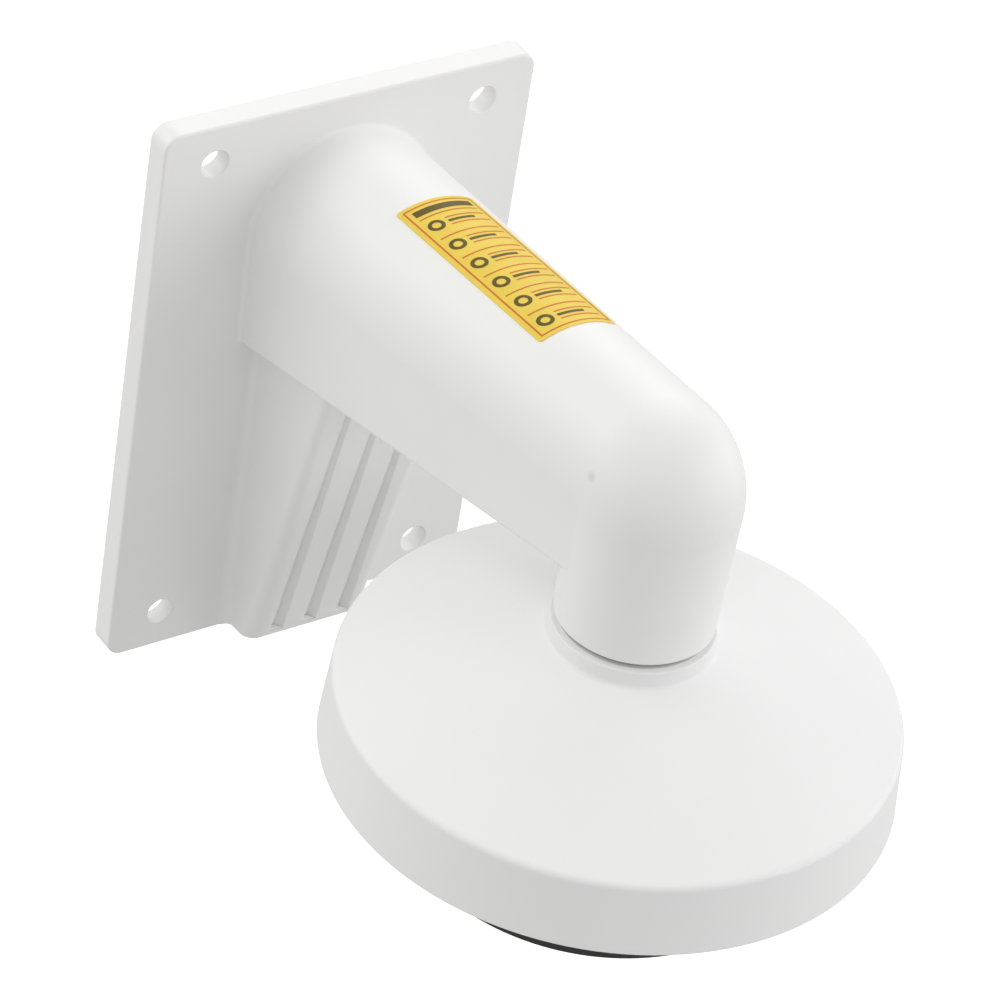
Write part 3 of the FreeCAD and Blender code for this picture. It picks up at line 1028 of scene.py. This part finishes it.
@dataclass
class Label:
    """The yellow label on the arm: a ruled list with a bullet in each row, and no words."""

    node: str = "arm_label"
    ground: Colour = (0.785, 0.585, 0.085)
    ground_roughness: float = 0.38
    red: Colour = (0.6, 0.16, 0.03)
    black: Colour = (0.115, 0.085, 0.014)
    margin: float = 1.3 * MM
    line: float = 0.45 * MM
    head_bar: float = 2.6 * MM
    rows: int = 6
    row_gap: float = 1.3 * MM
    bullet_radius: float = 2.4 * MM
    bullet_hole: float = 1.3 * MM
    rule_share: float = 0.75
    bar_half_share: float = 1.2
    bar_end_gaps: float = 3.0
    lift: float = 0.05 * MM
    ray_height: float = 0.3
    ray_length: float = 0.5

    def wrapped(self, name: str, cell: FlatPrint, rows: Rows, surface: bpy.types.Object,
                ink: bpy.types.Material) -> None:
        """Repeats a flat print down the label and lays it on the label's surface.

        Args:
            name: The piece's name.
            cell: The flat print that repeats.
            rows: How it repeats, towards the arm's end.
            surface: The label that it is laid on.
            ink: The print's material.
        """
        recipe = Recipe(name + "_rows", {
            "Rows": ("Int", rows.count),
            "Step": ("Vector", (0.0, -rows.pitch, 0.0)),
            "Start": ("Vector", (0.0, rows.start, 0.0)),
            "Surface": ("Object", surface),
            "Lift": ("Float", self.lift),
            "Material": ("Material", ink),
        })
        row = recipe.add("GeometryNodeMeshLine", mode="OFFSET")
        repeat = recipe.add("GeometryNodeInstanceOnPoints")
        real = recipe.add("GeometryNodeRealizeInstances")
        target = recipe.add("GeometryNodeObjectInfo", transform_space="ORIGINAL")
        place = recipe.add("GeometryNodeInputPosition")
        parts = recipe.add("ShaderNodeSeparateXYZ")
        above = recipe.add("ShaderNodeCombineXYZ", {"Z": self.ray_height})
        drop = recipe.add("GeometryNodeRaycast", {
            "Ray Direction": (0.0, 0.0, -1.0), "Ray Length": self.ray_length})
        height = recipe.add("ShaderNodeMath", operation="ADD")
        outwards = recipe.add("ShaderNodeVectorMath", operation="SCALE")
        laid = recipe.add("ShaderNodeVectorMath", operation="ADD")
        move = recipe.add("GeometryNodeSetPosition")
        recipe.link(
            (recipe.start, "Rows", row, "Count"),
            (recipe.start, "Step", row, "Offset"),
            (recipe.start, "Start", row, "Start Location"),
            (row, "Mesh", repeat, "Points"),
            (recipe.start, "Geometry", repeat, "Instance"),
            (repeat, "Instances", real, "Geometry"),
            (real, "Geometry", move, "Geometry"),
            (recipe.start, "Surface", target, "Object"),
            (target, "Geometry", drop, "Target Geometry"),
            (place, "Position", parts, "Vector"),
            (parts, "X", above, "X"),
            (parts, "Y", above, "Y"),
            (above, "Vector", drop, "Source Position"),
            (parts, "Z", height, 0),
            (recipe.start, "Lift", height, 1),
            (drop, "Hit Normal", outwards, "Vector"),
            (height, "Value", outwards, "Scale"),
            (drop, "Hit Position", laid, 0),
            (outwards, "Vector", laid, 1),
            (laid, "Vector", move, "Position"))
        recipe.finished(move, "Geometry")
        placed(recipe.made(name, cell.mesh(name + "_cell")), Slot.PRINT)

    def build(self, nodes: Dict[str, bpy.types.Object]) -> None:
        """Dresses the label and adds its print.

        Args:
            nodes: The frame's CAD nodes.
        """
        label = nodes[self.node]
        dress(label, Film("label_ground", self.ground, self.ground_roughness))
        red = Film("label_red_ink", self.red).material()
        black = Film("label_black_ink", self.black).material()
        low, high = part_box(self.node)
        left, right = low.x + self.margin, high.x - self.margin
        far, near = low.y + self.margin, high.y - self.margin
        border = FlatPrint()
        border.frame(left, right, far, near, self.line)
        self.wrapped("label_border", border, Rows(), label, red)
        inner_left = left + self.line + self.row_gap
        inner_right = right - self.line - self.row_gap
        top = near - self.line - self.row_gap
        first = top - self.head_bar
        head = FlatPrint()
        head.bar(inner_left, inner_right, first, top)
        self.wrapped("label_head_bar", head, Rows(), label, black)
        rows = Rows(self.rows, (first - far - self.line) / self.rows, first)
        under_rule = -self.row_gap - self.line
        middle = under_rule - (rows.pitch - self.row_gap - self.line) / 2.0
        text_left = inner_left + 2.0 * self.bullet_radius + self.row_gap
        rules = FlatPrint()
        rules.bar(inner_left, inner_right, under_rule, -self.row_gap)
        for side in (-1.0, 1.0):
            y = middle + side * self.bullet_radius * self.rule_share
            rules.bar(text_left, inner_right, y - self.line / 2.0, y + self.line / 2.0)
        self.wrapped("label_rules", rules, rows, label, red)
        half = self.line * self.bar_half_share
        bullets = FlatPrint()
        bullets.ring(
            inner_left + self.bullet_radius, middle, self.bullet_hole, self.bullet_radius)
        bullets.bar(
            text_left, inner_right - self.bar_end_gaps * self.row_gap,
            middle - half, middle + half)
        self.wrapped("label_bullets", bullets, rows, label, black)


def aimed(thing: bpy.types.Object, place: Point, direction: Vector, roll: float = 0.0) -> None:
    """Places a lamp or camera.

    Args:
        thing: The lamp or camera.
        place: Where it stands.
        direction: Where it looks.
        roll: Its turn about that direction, in radians.
    """
    thing.location = place
    thing.rotation_mode = "QUATERNION"
    thing.rotation_quaternion = Quaternion(direction, roll) @ direction.to_track_quat("-Z", "Y")


@dataclass(frozen=True)
class SoftLamp:
    """A large soft area lamp that is aimed at the middle of the bracket."""

    name: str
    place: Point
    power: float
    colour: Colour = WHITE
    shadow: bool = True
    aim: Point = (0.0, -0.1, 0.0)
    size: float = 1.3

    def build(self) -> None:
        """Adds the lamp to the scene."""
        data = bpy.data.lights.new(self.name, "AREA")
        data.shape = "DISK"
        data.size = self.size
        data.energy = self.power
        data.color = self.colour
        data.use_shadow = self.shadow
        lamp = shown(self.name, data)
        lamp.visible_camera = False
        aimed(lamp, self.place, Vector(self.aim) - Vector(self.place))


@dataclass
class Studio:
    """Camera, lamps, world and floor."""

    eye: Point = (-716.282 * MM, -1002.780 * MM, 891.724 * MM)
    look: Point = (0.495263, 0.623380, -0.605072)
    roll_degrees: float = -9.6706
    sensor_mm: float = 36.0
    lens_mm: float = 191.025
    view_end: float = 50.0
    floor_height: float = -420.0 * MM
    floor_half: float = 8.0
    floor_colour: Colour = (0.6, 0.6, 0.6)
    floor_glow: float = 0.6
    warm: Colour = (1.0, 0.992, 0.972)
    sky: float = 0.73

    def camera(self) -> None:
        """Sets the camera at the photograph's viewpoint."""
        data = bpy.data.cameras.new("view_camera")
        data.sensor_width = self.sensor_mm
        data.lens = self.lens_mm
        data.clip_end = self.view_end
        view = shown("view_camera", data)
        aimed(view, self.eye, Vector(self.look), math.radians(self.roll_degrees))
        bpy.context.scene.camera = view

    def world(self) -> None:
        """Gives the world a plain soft light and a white background for the camera."""
        world = bpy.data.worlds.new("studio_world")
        world.use_nodes = True
        make = Nodes(world.node_tree)
        output = make.add("ShaderNodeOutputWorld")
        path = make.add("ShaderNodeLightPath")
        seen = make.add("ShaderNodeMath", operation="MAXIMUM")
        through = make.add("ShaderNodeMath", operation="MAXIMUM")
        light = make.add("ShaderNodeBackground", {"Color": (*WHITE, 1.0), "Strength": self.sky})
        white = make.add("ShaderNodeBackground", {"Color": (*WHITE, 1.0), "Strength": 1.0})
        mix = make.add("ShaderNodeMixShader")
        make.link(
            (path, "Is Camera Ray", seen, 0),
            (path, "Is Glossy Ray", seen, 1),
            (seen, 0, through, 0),
            (path, "Is Transmission Ray", through, 1),
            (through, 0, mix, 0),
            (light, 0, mix, 1),
            (white, 0, mix, 2),
            (mix, 0, output, "Surface"))
        bpy.context.scene.world = world

    def floor(self) -> None:
        """Adds the plain pale floor, white to the camera outside the object's shadow."""
        half = self.floor_half
        z = self.floor_height
        mesh = bpy.data.meshes.new("studio_floor")
        corners = [(-half, -half, z), (half, -half, z), (half, half, z), (-half, half, z)]
        mesh.from_pydata(corners, [], [(0, 1, 2, 3)])
        material = bpy.data.materials.new("studio_floor")
        material.use_nodes = True
        make = Nodes(material.node_tree)
        output = make.add("ShaderNodeOutputMaterial")
        diffuse = make.add("ShaderNodeBsdfDiffuse", {"Color": (*self.floor_colour, 1.0)})
        path = make.add("ShaderNodeLightPath")
        glow = make.add("ShaderNodeEmission")
        lift = make.add("ShaderNodeMath", {1: self.floor_glow}, operation="MULTIPLY")
        both = make.add("ShaderNodeAddShader")
        make.link(
            (path, "Is Camera Ray", lift, 0),
            (lift, 0, glow, "Strength"),
            (diffuse, 0, both, 0),
            (glow, 0, both, 1),
            (both, 0, output, "Surface"))
        mesh.materials.append(material)
        shown("studio_floor", mesh)

    def build(self) -> None:
        """Sets up everything around the object."""
        self.camera()
        self.world()
        self.floor()
        SoftLamp("left_lamp", (-1.61, 0.33, 0.67), 3.0, self.warm).build()
        SoftLamp("rear_left_lamp", (-1.1, 1.1, 1.1), 8.2, self.warm).build()
        SoftLamp("right_lamp", (1.11, -1.42, 0.80), 7.6).build()
        SoftLamp("far_right_lamp", (1.75, -0.45, 0.35), 4.4).build()
        SoftLamp("rear_right_fill", (1.1, 1.0, 1.2), 6.4, shadow=False).build()
        bpy.context.scene.view_settings.view_transform = "Standard"


def main() -> None:
    """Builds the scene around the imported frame."""
    logging.basicConfig(level=logging.INFO, format="%(name)s: %(message)s")
    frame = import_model()
    nodes = frame["nodes"]
    Studio().build()
    Casting().build(nodes)
    CapGroup().build(nodes)
    Label().build(nodes)


if __name__ == "__main__":
    main()
